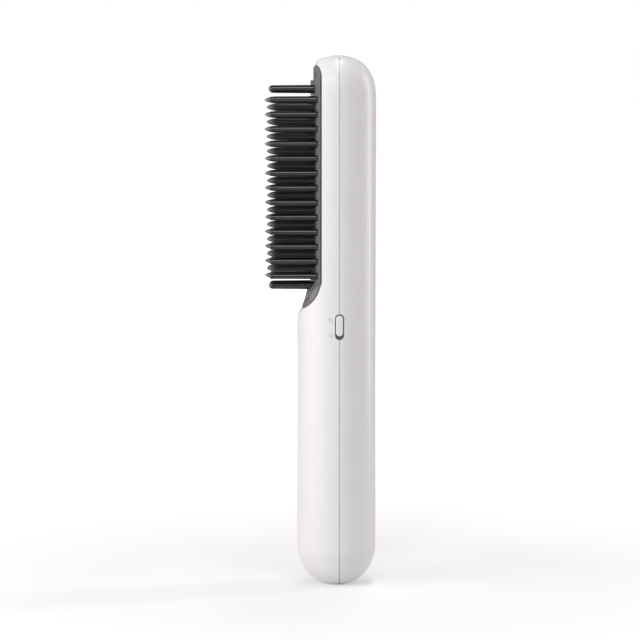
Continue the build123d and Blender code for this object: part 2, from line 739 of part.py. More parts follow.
def board_screw_places():
    """Where the main board's four screws stand."""
    y = BOARD_WIDTH / 2 - BOARD_SCREW_INSET
    heights = (BOARD_LOW_Z + BOARD_SCREW_INSET, BOARD_HIGH_Z - BOARD_SCREW_INSET)
    return [(side * y, z) for side in (-1, 1) for z in heights]


def main_board():
    """Main circuit board on four bosses of the rear shell."""
    half = BOARD_WIDTH / 2
    board = block((BOARD_X, BOARD_X + BOARD_THICKNESS), (-half, half), (BOARD_LOW_Z, BOARD_HIGH_Z))
    board = fillet(board.edges().filter_by(Axis.X), BOARD_CORNER)
    for y, z in board_screw_places():
        board -= rod_x(SCREW_HOLE, (BOARD_X - 1, BOARD_X + BOARD_THICKNESS + 1), y, z)
    return board


def board_screws():
    """Four screws that hold the main board."""
    return [screw_x(BOARD_X, y, z, 1) for y, z in board_screw_places()]


def on_board(height, side, tall):
    """A block that stands on the main board, placed from the board's lower end."""
    z = (BOARD_LOW_Z + tall[0], BOARD_LOW_Z + tall[1])
    return block((BOARD_X - height, BOARD_X), side, z)


def board_components():
    """Controller, inductor, power switches, capacitors and plugs, all standing on the board."""
    parts = [on_board(*part) for part in (CHIP, COIL, LOW_PLUG, HIGH_PLUG)]
    height, width, columns, tall = POWER_SWITCHES
    for y in columns:
        parts.append(on_board(height, (y - width / 2, y + width / 2), tall))
    height, radius, columns, rise = CAPACITORS
    for y in columns:
        parts.append(rod_x(radius, (BOARD_X - height, BOARD_X), y, BOARD_LOW_Z + rise))
    return parts


def knob_middle():
    """Height of the slide knob's middle, at rest near the slot's upper end."""
    return SWITCH_Z + (SLOT_LENGTH - KNOB_LENGTH) / 2 - KNOB_END_GAP


def slide_knob():
    """White knob in the slot, crowned to follow the handle, with a chamfered rim and a peg."""
    out = (-RADIUS - 1, -SHUTTER_Y)
    knob = pill_y(KNOB_LENGTH, KNOB_WIDTH, out, PARTING_X, knob_middle()) & pod(-KNOB_PROUD)
    crown = knob.faces().sort_by(Axis.Y)[0]
    knob = chamfer(crown.edges(), KNOB_CHAMFER)
    depth = (-SHUTTER_Y, -SHUTTER_Y + SHUTTER_THICKNESS)
    return knob + pill_y(PEG[0], PEG[1], depth, PARTING_X, knob_middle())


def slide_shutter():
    """Dark plate that rides behind the slot and takes the switch's lever in a fork."""
    back = -SHUTTER_Y + SHUTTER_THICKNESS
    plate = block(
        (PARTING_X - SHUTTER_WIDTH / 2, PARTING_X + SHUTTER_WIDTH / 2),
        (-SHUTTER_Y, back),
        (knob_middle() - SHUTTER_LENGTH / 2, knob_middle() + SHUTTER_LENGTH / 2),
    )
    plate = fillet(plate.edges().filter_by(Axis.Y), SHUTTER_CORNER)
    hole = (PEG[0] + 2 * SNUG, PEG[1] + 2 * SNUG)
    plate -= pill_y(hole[0], hole[1], (-SHUTTER_Y - 1, back + 1), PARTING_X, knob_middle())
    fork = (PARTING_X + FORK_X[0], PARTING_X + FORK_X[1])
    for side in (-1, 1):
        z = knob_middle() + side * (LEVER_WIDTH / 2 + SNUG)
        tall = sorted((z, z + side * FORK_THICKNESS))
        plate += block(fork, (back - SHUTTER_THICKNESS / 2, back + FORK_DEPTH), tall)
    return plate


def switch_lever():
    """Lever of the slide switch, moved by the shutter's fork."""
    half = LEVER_WIDTH / 2
    x = PARTING_X + FORK_X[0]
    y = (-SHUTTER_Y + SHUTTER_THICKNESS + SNUG, -SWITCH_FACE_Y + LEVER_DEPTH)
    return block((x, x + LEVER_THICKNESS), y, (knob_middle() - half, knob_middle() + half))


def slide_switch():
    """Body of the slide switch on the edge of the main board, with the lever's slot."""
    middle = knob_middle() - KNOB_TRAVEL / 2
    half = SWITCH_LENGTH / 2
    y = (-SWITCH_FACE_Y, -SWITCH_FACE_Y + SWITCH_DEPTH)
    can = block((PARTING_X - SWITCH_FRONT, BOARD_X), y, (middle - half, middle + half))
    reach = (LEVER_WIDTH + KNOB_TRAVEL) / 2 + RUNNING
    x = PARTING_X + FORK_X[0]
    return can - block(
        (x - SNUG, x + LEVER_THICKNESS + SNUG),
        (-SWITCH_FACE_Y - 1, -SWITCH_FACE_Y + LEVER_DEPTH + RUNNING),
        (middle - reach, middle + reach),
    )


def button_post_heights():
    """Heights of the two posts that carry the button board."""
    high = BUTTON_BOARD_LOW_Z + BUTTON_BOARD_LENGTH
    return (BUTTON_BOARD_LOW_Z + POST_INSETS[0], high - POST_INSETS[1])


def light_heights():
    """Heights of the lights above the button."""
    return [BUTTON_Z + FIRST_LIGHT + LIGHT_PITCH * light for light in range(LIGHTS)]


def temperature_button():
    """Round press cap, crowned to follow the handle, with a flange behind the wall."""
    cap = rod_x(BUTTON_RADIUS, (-RADIUS, FLANGE_X), 0, BUTTON_Z) & pod(BUTTON_RECESS)
    flange = (FLANGE_X, FLANGE_X + BUTTON_FLANGE_THICKNESS)
    return cap + rod_x(BUTTON_RADIUS + BUTTON_FLANGE, flange, 0, BUTTON_Z)


def tact_plunger():
    """Plunger of the press switch behind the cap."""
    front = FLANGE_X + BUTTON_FLANGE_THICKNESS + SNUG
    return rod_x(PLUNGER_RADIUS, (front, front + PLUNGER_LENGTH), 0, BUTTON_Z)


def tact_switch():
    """Press switch on the button board, bored for its plunger."""
    half = TACT_SIZE / 2
    x = (BUTTON_BOARD_X - TACT_HEIGHT, BUTTON_BOARD_X)
    can = block(x, (-half, half), (BUTTON_Z - half, BUTTON_Z + half))
    depth = FLANGE_X + BUTTON_FLANGE_THICKNESS + PLUNGER_LENGTH + BUTTON_TRAVEL + FIT
    return can - rod_x(PLUNGER_RADIUS + 2 * SNUG, (x[0] - 1, depth), 0, BUTTON_Z)


def button_board():
    """Small board behind the button and the lights."""
    half = BUTTON_BOARD_WIDTH / 2
    x = (BUTTON_BOARD_X, BUTTON_BOARD_X + BUTTON_BOARD_THICKNESS)
    tall = (BUTTON_BOARD_LOW_Z, BUTTON_BOARD_LOW_Z + BUTTON_BOARD_LENGTH)
    board = block(x, (-half, half), tall)
    board = fillet(board.edges().filter_by(Axis.X), BUTTON_BOARD_CORNER)
    for z in button_post_heights():
        board -= rod_x(SCREW_HOLE, (x[0] - 1, x[1] + 1), 0, z)
    return board


def button_board_screws():
    """Two screws that hold the button board to its posts."""
    seat = BUTTON_BOARD_X + BUTTON_BOARD_THICKNESS
    return [screw_x(seat, 0, z, -1) for z in button_post_heights()]


def indicator_lights():
    """Three small lamps on the button board."""
    deep, wide, tall = LAMP_SIZE
    x = (BUTTON_BOARD_X - deep, BUTTON_BOARD_X)
    return [block(x, (-wide / 2, wide / 2), (z - tall / 2, z + tall / 2)) for z in light_heights()]


def light_guide():
    """Clear bar with three pins that carry the light through the wall."""
    thick, wide = GUIDE_BAR
    inner = -RADIUS + WALL + FIT
    heights = light_heights()
    tall = (heights[0] - wide / 2, heights[-1] + wide / 2)
    guide = block((inner, inner + thick), (-wide / 2, wide / 2), tall)
    for z in heights:
        guide += rod_x(LIGHT_RADIUS, (-RADIUS + GUIDE_RECESS, inner + thick / 2), 0, z)
        pin = (inner + thick / 2, BUTTON_BOARD_X - LAMP_SIZE[0] - RUNNING)
        guide += rod_x(LIGHT_RADIUS, pin, 0, z)
    return guide


def port_surround():
    """Rubber surround of the charging socket, with a flange inside the end wall."""
    wide = PORT_WIDTH + 2 * SURROUND_MARGIN
    high = PORT_HEIGHT + 2 * SURROUND_MARGIN
    plug = pill_z(wide, high, (-WALL, SURROUND_FLANGE_Z), PARTING_X) & pod(FIT)
    grow = 2 * SURROUND_FLANGE
    flange = pill_z(wide + grow, high + grow, (0, SURROUND_FLANGE_Z), PARTING_X)
    plug += flange & pod(WALL + SNUG)
    return plug - pill_z(PORT_WIDTH + 2 * SNUG, PORT_HEIGHT + 2 * SNUG, (-WALL, DOME), PARTING_X)


def usb_c_port():
    """Drawn metal shell of the charging socket with its tongue and back wall."""
    low, high = PORT_RECESS, PORT_RECESS + PORT_LENGTH
    wall = 2 * PORT_WALL
    can = pill_z(PORT_WIDTH, PORT_HEIGHT, (low, high), PARTING_X)
    can -= pill_z(PORT_WIDTH - wall, PORT_HEIGHT - wall, (low - 1, high - PORT_BACK), PARTING_X)
    thick, wide = TONGUE
    x = (PARTING_X - thick / 2, PARTING_X + thick / 2)
    return can + block(x, (-wide / 2, wide / 2), (low + TONGUE_RECESS, high - PORT_BACK / 2))


def charge_board():
    """Small charging board that carries the socket, on two rests of the rear shell."""
    front = PARTING_X + PORT_HEIGHT / 2
    half = CHARGE_BOARD_WIDTH / 2
    return block((front, front + CHARGE_BOARD_THICKNESS), (-half, half), CHARGE_BOARD_Z)


def lead(points):
    """A round lead along straight runs joined by arcs."""
    path = FilletPolyline(*points, radius=LEAD_BEND) if len(points) > 2 else Line(*points)
    start = Plane(path @ 0, z_dir=path % 0)
    return sweep(start * Circle(LEAD_RADIUS), path=path)


def beside_cradle(turn):
    """Where a lead runs between the cradle and the shell, at a turn about the axis."""
    angle = math.radians(turn)
    return (LEAD_RING * math.cos(angle), LEAD_RING * math.sin(angle))


def to_board_edge(x, y, end_y, drop):
    """The last points of a lead, from beside the cradle to the main board's lower edge."""
    bend_z = BOARD_LOW_Z - drop
    edge_x = BOARD_X + BOARD_THICKNESS / 2
    return [(x, y, bend_z), (edge_x, end_y, bend_z), (edge_x, end_y, BOARD_LOW_Z)]


def charge_leads():
    """Pair of leads from the charging board's back up beside the cradle."""
    back = PARTING_X + PORT_HEIGHT / 2 + CHARGE_BOARD_THICKNESS + LEAD_RADIUS
    start_y, rise = CHARGE_LEAD_START
    z = REST_HEIGHTS[0] + REST_THICKNESS + rise
    leads = []
    for turn, end_y, drop in CHARGE_LEAD_PATHS:
        x, y = beside_cradle(turn)
        points = [(back, start_y, z), (back, y - CHARGE_LEAD_PITCH, z), (x, y, z + CHARGE_LEAD_RISE)]
        leads.append(lead(points + to_board_edge(x, y, end_y, drop)))
        z += CHARGE_LEAD_PITCH
    return leads


def return_lead():
    """Lead from the strip under the cell up beside the cradle to the main board."""
    turn, end_y, drop = RETURN_LEAD_PATH
    x, y = beside_cradle(turn)
    strip = CELL_LOW_Z - TAB_STRIP[1]
    start_y, sag = RETURN_LEAD_START
    points = [(0, -start_y, strip), (0, -start_y, strip - sag), (x, y, strip - sag)]
    return lead(points + to_board_edge(x, y, end_y, drop))


def supply_lead():
    """Short lead from the strip on the cell's upper end to the main board's lower plug."""
    x = BOARD_X - LOW_PLUG[0] / 2
    plug_z = BOARD_LOW_Z + LOW_PLUG[2][0]
    return lead([(x, SUPPLY_LEAD_Y, CELL_TOP + TAB_STRIP[1]), (x, SUPPLY_LEAD_Y, plug_z)])


def heater_leads():
    """Pair of leads from the heater's upper end back to the main board's upper plug."""
    front = -POCKET_FLOOR + HEATER_THICKNESS / 2
    top = heater_middle() + HEATER_LENGTH / 2
    bend_z = top + LEAD_BEND + FIT
    drop_x = BOARD_X - HEATER_LEAD_DEPTH
    plug_z = BOARD_LOW_Z + HIGH_PLUG[2][1]
    leads = []
    for y in (-HEATER_LEAD_Y, HEATER_LEAD_Y):
        leads.append(lead([(front, y, top), (front, y, bend_z), (drop_x, y, bend_z), (drop_x, y, plug_z)]))
    return leads


def nodes():
    """Every named piece of the brush."""
    outer = body()
    cavity = body(WALL)
    skin = outer - cavity
    face = front_form() + ridge()
    return {
        "front_shell": front_shell(skin),
        "rear_shell": rear_shell(skin),
        "comb_frame": comb_frame(outer, cavity),
        "heater_plate": heater_plate(face),
        "centre_teeth": centre_teeth(face),
        "middle_teeth": middle_teeth(face),
        "outer_teeth": outer_teeth(face),
        "guard_teeth": guard_teeth(face),
        "ptc_heater": ptc_heater(),
        "insulation_sheet": insulation_sheet(),
        "heater_clamps": heater_clamps(),
        "heater_screws": heater_screws(),
        "frame_screws": frame_screws(),
        "thermistor": thermistor(),
        "thermal_fuse": thermal_fuse(),
        "battery_cell": battery_cell(),
        "cell_tabs": cell_tabs(),
        "battery_cradle": battery_cradle(),
        "cradle_screws": cradle_screws(),
        "main_board": main_board(),
        "board_screws": board_screws(),
        "board_components": board_components(),
        "slide_knob": slide_knob(),
        "slide_shutter": slide_shutter(),
        "switch_lever": switch_lever(),
        "slide_switch": slide_switch(),
        "temperature_button": temperature_button(),
        "tact_plunger": tact_plunger(),
        "tact_switch": tact_switch(),
        "button_board": button_board(),
        "button_board_screws": button_board_screws(),
        "indicator_lights": indicator_lights(),
        "light_guide": light_guide(),
        "port_surround": port_surround(),
        "usb_c_port": usb_c_port(),
        "charge_board": charge_board(),
        "charge_leads": charge_leads(),
        "supply_lead": supply_lead(),
        "return_lead": return_lead(),
        "heater_leads": heater_leads(),
    }


for name, piece in nodes().items():
    shape = Compound(piece) if isinstance(piece, list) else piece
    shape.label = name
    export_step(shape, f"parts/{name}.step")
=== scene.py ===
"""Looks of a cordless hair straightener brush, laid out as a Blender add-on.

Metres, +Z up the body, the comb faces -X and the slide switch faces -Y.
"""

import math

import bpy
import numpy as np
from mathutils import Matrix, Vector


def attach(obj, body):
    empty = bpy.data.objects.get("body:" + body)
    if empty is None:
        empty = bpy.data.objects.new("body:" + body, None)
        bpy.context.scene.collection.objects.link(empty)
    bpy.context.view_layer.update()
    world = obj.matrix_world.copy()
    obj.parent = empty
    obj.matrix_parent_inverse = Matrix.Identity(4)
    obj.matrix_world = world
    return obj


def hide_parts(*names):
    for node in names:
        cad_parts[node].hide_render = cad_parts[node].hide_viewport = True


bl_info = {
    "name": "Heated Brush",
    "version": (1, 0, 0),
    "blender": (4, 5, 0),
    "location": "3D View > Sidebar > Brush",
    "description": "Builds the surfaces, finishes and studio of a cordless hair straightener brush",
    "category": "Object",
}

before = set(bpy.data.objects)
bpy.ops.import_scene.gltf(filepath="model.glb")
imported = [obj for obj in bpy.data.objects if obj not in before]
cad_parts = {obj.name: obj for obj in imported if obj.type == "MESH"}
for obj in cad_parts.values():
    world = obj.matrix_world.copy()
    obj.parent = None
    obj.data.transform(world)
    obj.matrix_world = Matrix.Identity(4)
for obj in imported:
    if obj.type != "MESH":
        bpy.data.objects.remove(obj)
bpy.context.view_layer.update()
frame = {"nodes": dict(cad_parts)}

MM = 0.001
HOUSING = "housing"

# Even light of the room
ROOM_LIGHT = 0.29

# Lamps: name, place, width, height, power in watts and colour, all aimed at one point
LAMPS = (
    ("key lamp", (-1.15, -0.7, 0.5), 1.1, 1.0, 10.2, (1.0, 1.0, 1.0)),
    ("warm strip", (-1.15, 0.0, 0.05), 0.25, 0.9, 2.2, (1.0, 0.5, 0.45)),
    ("front lamp", (-0.18, -1.03, 0.95), 0.45, 0.4, 3.0, (1.0, 1.0, 1.0)),
    ("top strip", (0.1, 0.0, 1.3), 1.2, 0.16, 5.2, (1.0, 1.0, 1.0)),
    ("rim strip", (0.99, 0.36, 0.15), 0.22, 1.3, 6.2, (1.0, 0.87, 0.87)),
)
LAMP_TARGET = (0.0, 0.0, 0.12)

# Camera: distance, pitch, middle of the view in X and Z, width of the view and of the sensor in mm
CAMERA_DISTANCE = 1.2
CAMERA_PITCH = math.radians(4.0)
VIEW_CENTRE = (-0.00768, 0.1234)
VIEW_WIDTH = 0.298
SENSOR_WIDTH = 36.0

# Floor: half its side and its cells along one side
FLOOR_HALF = 30.0
FLOOR_CELLS = 12

# Camera's lift of the floor to white: between two distances it grows from one level to another,
# and a small part of it lights the room as well
LIFT_FROM, LIFT_TO = 0.12, 1.0
LIFT_NEAR, LIFT_FAR = 0.19, 0.95
LIFT_BASE = 0.12

# Smooth shading of the CAD pieces: points closer than this are joined, steeper edges stay sharp
MERGE_GAP = 0.002 * MM
SHARP_ANGLE = math.radians(28)

# Mottle of moulded plastic, how far a roughness swings about its middle, and depth of metal lines
MOTTLE_SIZE = 14 * MM
MOULDED_SWING = 0.12
METAL_SWING = 0.25
METAL_LINE_DEPTH = 0.004 * MM

# Circuit board: pitch, edges and depth of the tracks under the mask. Frost of clear plastic.
TRACK_PITCH = 3.2 * MM
TRACK_EDGES = (0.03, 0.07)
TRACK_DEPTH = 0.03 * MM
FROST_SIZE = 0.4 * MM

# Comb's face: crest depth and crown radius of the frame and of the ridge along its middle
FRAME_CREST, FRAME_CROWN = 10.8 * MM, 38.1 * MM
RIDGE_CREST, RIDGE_CROWN = 12.1 * MM, 10.5 * MM

# Teeth: tip depth, root and shoulder radius, nose length and the power of its curve
CENTRE = dict(tip=33.3 * MM, root=1.70 * MM, shoulder=1.64 * MM, nose=5.4 * MM, power=0.62)
MIDDLE = dict(tip=32.35 * MM, root=1.76 * MM, shoulder=1.70 * MM, nose=5.6 * MM, power=0.62)
OUTER = dict(tip=31.0 * MM, root=1.30 * MM, shoulder=1.24 * MM, nose=0.8 * MM, power=0.36)
GUARD = dict(tip=31.4 * MM, root=1.85 * MM, shoulder=1.68 * MM, nose=1.9 * MM, power=0.5)
GUARD_ROWS = (139.9 * MM, 230.5 * MM)

# Turning of a tooth: points round it, sink below the face, flare at the root and its fade,
# where the flare's rings end and the stem's start, and where the rings stop following the face
TOOTH_TURNS = 28
TOOTH_SINK = 0.35 * MM
FLARE, FLARE_FADE = 0.3 * MM, 0.45 * MM
FLARE_END, STEM_START = 1.6 * MM, 3 * MM
FOLLOW_END = 2 * MM

# Printed marks: places beside the switch, the dash's form, and the ink's thickness and section
BODY_RADIUS = 18.25 * MM
RING_X, DASH_X, DASH_RISE = -2.7 * MM, -3.7 * MM, 0.9 * MM
DASH_LENGTH, DASH_TILT = 0.6 * MM, math.radians(135)
RING_TURNS = 64
INK = 0.02 * MM
INK_SECTION = (1.0, 1.0, -2.0, -2.0)

# Socket's tongue, the number and pitch of its contacts, and each contact's span and poles in mm,
# half width, rise, rings, turns and end angle
TONGUE_X, TONGUE_HALF = 1.3 * MM, 0.35 * MM
CONTACTS, CONTACT_PITCH = 12, 0.5 * MM
CONTACT_SPAN = (1.75, 5.2)
CONTACT_POLES = (1.72, 5.23)
CONTACT_HALF, CONTACT_RISE = 0.12 * MM, 0.03 * MM
CONTACT_RINGS, CONTACT_TURNS = 9, 12
CONTACT_DRAW = 0.25

# Materials by a short key, filled on first use
FINISHES = {}


# Colours and nodes


def linear(code):
    """Turns an sRGB hex colour into linear RGBA."""
    parts = [int(code[i : i + 2], 16) / 255 for i in (1, 3, 5)]
    return (*[p / 12.92 if p <= 0.04045 else ((p + 0.055) / 1.055) ** 2.4 for p in parts], 1.0)


def add_node(tree, kind, settings=None, **inputs):
    """Adds a node, applies its settings and sets or links its inputs, named or as i0, i1."""
    node = tree.nodes.new(kind)
    for name, value in (settings or {}).items():
        setattr(node, name, value)
    for name, value in inputs.items():
        key = int(name[1:]) if name[0] == "i" and name[1:].isdigit() else name.replace("_", " ")
        if isinstance(value, bpy.types.NodeSocket):
            tree.links.new(value, node.inputs[key])
        else:
            node.inputs[key].default_value = value
    return node


def new_material(name):
    """An empty node material with its tree and output node."""
    material = bpy.data.materials.new(name)
    material.use_nodes = True
    material.node_tree.nodes.clear()
    output = material.node_tree.nodes.new("ShaderNodeOutputMaterial")
    return material, material.node_tree, output


def moulded(name, colour, worn, rough, grain, deep, ior=1.5, tip=None):
    """Moulded plastic, rubber or a coat: a faint mottle, and a grain and its depth in millimetres.

    A real mould's grain is under 0.1 mm, too fine to draw here, so it is drawn coarser and shallow.
    A tip is a start, an end and a colour: along -X the surface turns to it between the two depths,
    a painted highlight for the light that the noses catch.
    """
    material, tree, output = new_material(name)
    where = add_node(tree, "ShaderNodeTexCoord").outputs["Object"]
    mottle = add_node(tree, "ShaderNodeTexNoise", Vector=where, Scale=1 / MOTTLE_SIZE, Detail=3.0)
    pits = add_node(tree, "ShaderNodeTexNoise", Vector=where, Scale=1 / (grain * MM), Detail=1.0)
    tint = add_node(
        tree,
        "ShaderNodeMix",
        {"data_type": "RGBA"},
        i0=mottle.outputs[0],
        i6=linear(colour),
        i7=linear(worn),
    )
    # Painted highlight: the noses turn paler along -X, standing in for the light the tips catch
    if tip:
        depth = add_node(tree, "ShaderNodeSeparateXYZ", Vector=where).outputs["X"]
        start, end, highlight_colour = tip
        highlight_share = add_node(tree, "ShaderNodeMapRange", Value=depth, i1=-start * MM, i2=-end * MM)
        tint = add_node(
            tree,
            "ShaderNodeMix",
            {"data_type": "RGBA"},
            i0=highlight_share.outputs[0],
            i6=tint.outputs[2],
            i7=linear(highlight_colour),
        )
    gloss = add_node(
        tree,
        "ShaderNodeMapRange",
        Value=pits.outputs[0],
        i3=rough * (1 - MOULDED_SWING),
        i4=rough * (1 + MOULDED_SWING),
    )
    dents = add_node(tree, "ShaderNodeBump", Height=pits.outputs[0], Distance=deep * MM)
    shader = add_node(
        tree,
        "ShaderNodeBsdfPrincipled",
        Base_Color=tint.outputs[2],
        Roughness=gloss.outputs[0],
        IOR=ior,
        Normal=dents.outputs[0],
    )
    tree.links.new(shader.outputs[0], output.inputs[0])
    return material


def metal(name, colour, worn, rough, line, stretch=(1, 1, 1)):
    """Bare or plated metal with the lines that rolling, drawing or stamping leaves, in millimetres.

    Real lines are finer than can be drawn here, so they are drawn coarser and shallow.
    """
    material, tree, output = new_material(name)
    where = add_node(tree, "ShaderNodeTexCoord").outputs["Object"]
    drawn = add_node(tree, "ShaderNodeMapping", Vector=where, Scale=stretch)
    lines = add_node(
        tree,
        "ShaderNodeTexNoise",
        Vector=drawn.outputs[0],
        Scale=1 / (line * MM),
        Detail=3.0,
        Roughness=0.6,
    )
    tint = add_node(
        tree,
        "ShaderNodeMix",
        {"data_type": "RGBA"},
        i0=lines.outputs[0],
        i6=linear(colour),
        i7=linear(worn),
    )
    gloss = add_node(
        tree,
        "ShaderNodeMapRange",
        Value=lines.outputs[0],
        i3=rough * (1 - METAL_SWING),
        i4=rough * (1 + METAL_SWING),
    )
    dents = add_node(tree, "ShaderNodeBump", Height=lines.outputs[0], Distance=METAL_LINE_DEPTH)
    shader = add_node(
        tree,
        "ShaderNodeBsdfPrincipled",
        Base_Color=tint.outputs[2],
        Metallic=1.0,
        Roughness=gloss.outputs[0],
        Normal=dents.outputs[0],
    )
    tree.links.new(shader.outputs[0], output.inputs[0])
    return material


def solder_mask(name, colour, track):
    """Glass-epoxy circuit board: green mask, with tracks that show through as lighter lines."""
    material, tree, output = new_material(name)
    where = add_node(tree, "ShaderNodeTexCoord").outputs["Object"]
    cells = add_node(
        tree,
        "ShaderNodeTexVoronoi",
        {"feature": "DISTANCE_TO_EDGE"},
        Vector=where,
        Scale=1 / TRACK_PITCH,
        Randomness=0.35,
    )
    edge = add_node(
        tree,
        "ShaderNodeMapRange",
        Value=cells.outputs["Distance"],
        i1=TRACK_EDGES[0],
        i2=TRACK_EDGES[1],
        i3=1.0,
        i4=0.0,
    )
    tint = add_node(
        tree,
        "ShaderNodeMix",
        {"data_type": "RGBA"},
        i0=edge.outputs[0],
        i6=linear(colour),
        i7=linear(track),
    )
    dents = add_node(tree, "ShaderNodeBump", Height=edge.outputs[0], Distance=TRACK_DEPTH)
    shader = add_node(
        tree,
        "ShaderNodeBsdfPrincipled",
        Base_Color=tint.outputs[2],
        Roughness=0.28,
        IOR=1.55,
        Normal=dents.outputs[0],
    )
    tree.links.new(shader.outputs[0], output.inputs[0])
    return material


def clear_moulded(name, colour, frosted):
    """Clear polycarbonate, slightly frosted by its mould. The frost is drawn coarser than real."""
    material, tree, output = new_material(name)
    where = add_node(tree, "ShaderNodeTexCoord").outputs["Object"]
    frost = add_node(tree, "ShaderNodeTexNoise", Vector=where, Scale=1 / FROST_SIZE)
    tint = add_node(
        tree,
        "ShaderNodeMix",
        {"data_type": "RGBA"},
        i0=frost.outputs[0],
        i6=linear(colour),
        i7=linear(frosted),
    )
    gloss = add_node(tree, "ShaderNodeMapRange", Value=frost.outputs[0], i3=0.18, i4=0.3)
    shader = add_node(
        tree,
        "ShaderNodeBsdfPrincipled",
        Base_Color=tint.outputs[2],
        Roughness=gloss.outputs[0],
        IOR=1.58,
        Transmission_Weight=0.8,
    )
    tree.links.new(shader.outputs[0], output.inputs[0])
    return material


def pale_stage():
    """Matt white paper, lifted to white for the camera, less so near the brush's shadow."""
    material, tree, output = new_material("matt white paper")
    paper = add_node(tree, "ShaderNodeBsdfDiffuse", Color=linear("#dcdcdc"))
    where = add_node(tree, "ShaderNodeTexCoord").outputs["Object"]
    away = add_node(tree, "ShaderNodeVectorMath", {"operation": "LENGTH"}, i0=where)
    lift = add_node(
        tree,
        "ShaderNodeMapRange",
        Value=away.outputs["Value"],
        i1=LIFT_FROM,
        i2=LIFT_TO,
        i3=LIFT_NEAR,
        i4=LIFT_FAR,
    )
    ray = add_node(tree, "ShaderNodeLightPath").outputs["Is Camera Ray"]
    seen = add_node(
        tree,
        "ShaderNodeMath",
        {"operation": "MULTIPLY_ADD"},
        i0=ray,
        i1=lift.outputs[0],
        i2=LIFT_BASE,
    )
    glow = add_node(tree, "ShaderNodeEmission", Color=(1, 1, 1, 1), Strength=seen.outputs[0])
    both = add_node(tree, "ShaderNodeAddShader", i0=paper.outputs[0], i1=glow.outputs[0])
    tree.links.new(both.outputs[0], output.inputs[0])
    return material


def studio_world():
    """Even light of a pale room, and white to the camera."""
    world = bpy.data.worlds.new("studio")
    world.use_nodes = True
    tree = world.node_tree
    tree.nodes.clear()
    ray = add_node(tree, "ShaderNodeLightPath").outputs["Is Camera Ray"]
    seen = add_node(tree, "ShaderNodeMath", {"operation": "MAXIMUM"}, i0=ROOM_LIGHT, i1=ray)
    sky = add_node(tree, "ShaderNodeBackground", Color=(1, 1, 1, 1), Strength=seen.outputs[0])
    out = add_node(tree, "ShaderNodeOutputWorld")
    tree.links.new(sky.outputs[0], out.inputs[0])
    return world


# Surfaces


def closed_skin(rings, start, end):
    """A closed mesh from rings of points, an array of ring, turn and xyz, with a pole at each end.

    Quads join each ring to the next, and triangles join the first and last ring to the poles.
    """
    count, turns = rings.shape[:2]
    points = np.concatenate([rings.reshape(-1, 3), [start, end]])
    around = np.arange(turns)
    ahead = np.roll(around, -1)
    base = (np.arange(count - 1) * turns)[:, None]
    quads = np.stack([base + around, base + ahead, base + turns + ahead, base + turns + around], -1)
    last = (count - 1) * turns
    low_fan = np.stack([ahead, around, np.full(turns, count * turns)], -1)
    high_fan = np.stack([last + around, last + ahead, np.full(turns, count * turns + 1)], -1)
    return points, quads.reshape(-1, 4).tolist() + low_fan.tolist() + high_fan.tolist()


def loop_skin(grid):
    """A closed band from a grid of points that wraps round in both directions."""
    index = np.arange(grid.shape[0] * grid.shape[1]).reshape(grid.shape[:2])
    ahead = np.roll(index, -1, 0)
    quads = np.stack([index, ahead, np.roll(ahead, -1, 1), np.roll(index, -1, 1)], -1)
    return grid.reshape(-1, 3), quads.reshape(-1, 4).tolist()


def make_piece(name, shells, body, material):
    """Joins closed skins into one smooth object that rides on a body."""
    points, faces, offset = [], [], 0
    for shell_points, shell_faces in shells:
        points.append(shell_points)
        faces += [[corner + offset for corner in face] for face in shell_faces]
        offset += len(shell_points)
    mesh = bpy.data.meshes.new(name)
    mesh.from_pydata(np.concatenate(points).tolist(), [], faces)
    mesh.validate()
    mesh.shade_smooth()
    mesh.materials.append(material)
    piece = bpy.data.objects.new(name, mesh)
    bpy.context.scene.collection.objects.link(piece)
    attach(piece, body)
    return piece


def smooth_by_angle():
    """Geometry nodes that join loose triangles and shade them smooth except at real edges."""
    name = "smooth except at edges"
    tree = bpy.data.node_groups.get(name)
    if tree:
        return tree
    tree = bpy.data.node_groups.new(name, "GeometryNodeTree")
    tree.interface.new_socket("Geometry", in_out="INPUT", socket_type="NodeSocketGeometry")
    tree.interface.new_socket("Geometry", in_out="OUTPUT", socket_type="NodeSocketGeometry")
    source = add_node(tree, "NodeGroupInput")
    sink = add_node(tree, "NodeGroupOutput")
    merged = add_node(
        tree, "GeometryNodeMergeByDistance", Geometry=source.outputs[0], Distance=MERGE_GAP
    )
    angle = add_node(tree, "GeometryNodeInputMeshEdgeAngle").outputs[0]
    gentle = add_node(
        tree, "FunctionNodeCompare", {"operation": "LESS_THAN"}, i0=angle, i1=SHARP_ANGLE
    )
    faces = add_node(
        tree, "GeometryNodeSetShadeSmooth", {"domain": "FACE"}, Geometry=merged.outputs[0]
    )
    edges = add_node(
        tree,
        "GeometryNodeSetShadeSmooth",
        {"domain": "EDGE"},
        Geometry=faces.outputs[0],
        Shade_Smooth=gentle.outputs[0],
    )
    tree.links.new(edges.outputs[0], sink.inputs[0])
    return tree


def finish_node(name, material):
    """Gives a CAD node its material and smooth shading."""
    node = frame["nodes"][name]
    node.data.materials.clear()
    node.data.materials.append(material)
    shade = node.modifiers.new("smooth", "NODES")
    shade.node_group = smooth_by_angle()
    weigh = node.modifiers.new("weigh", "WEIGHTED_NORMAL")
    weigh.keep_sharp = True
    weigh.weight = 50


# Settings that a user would change


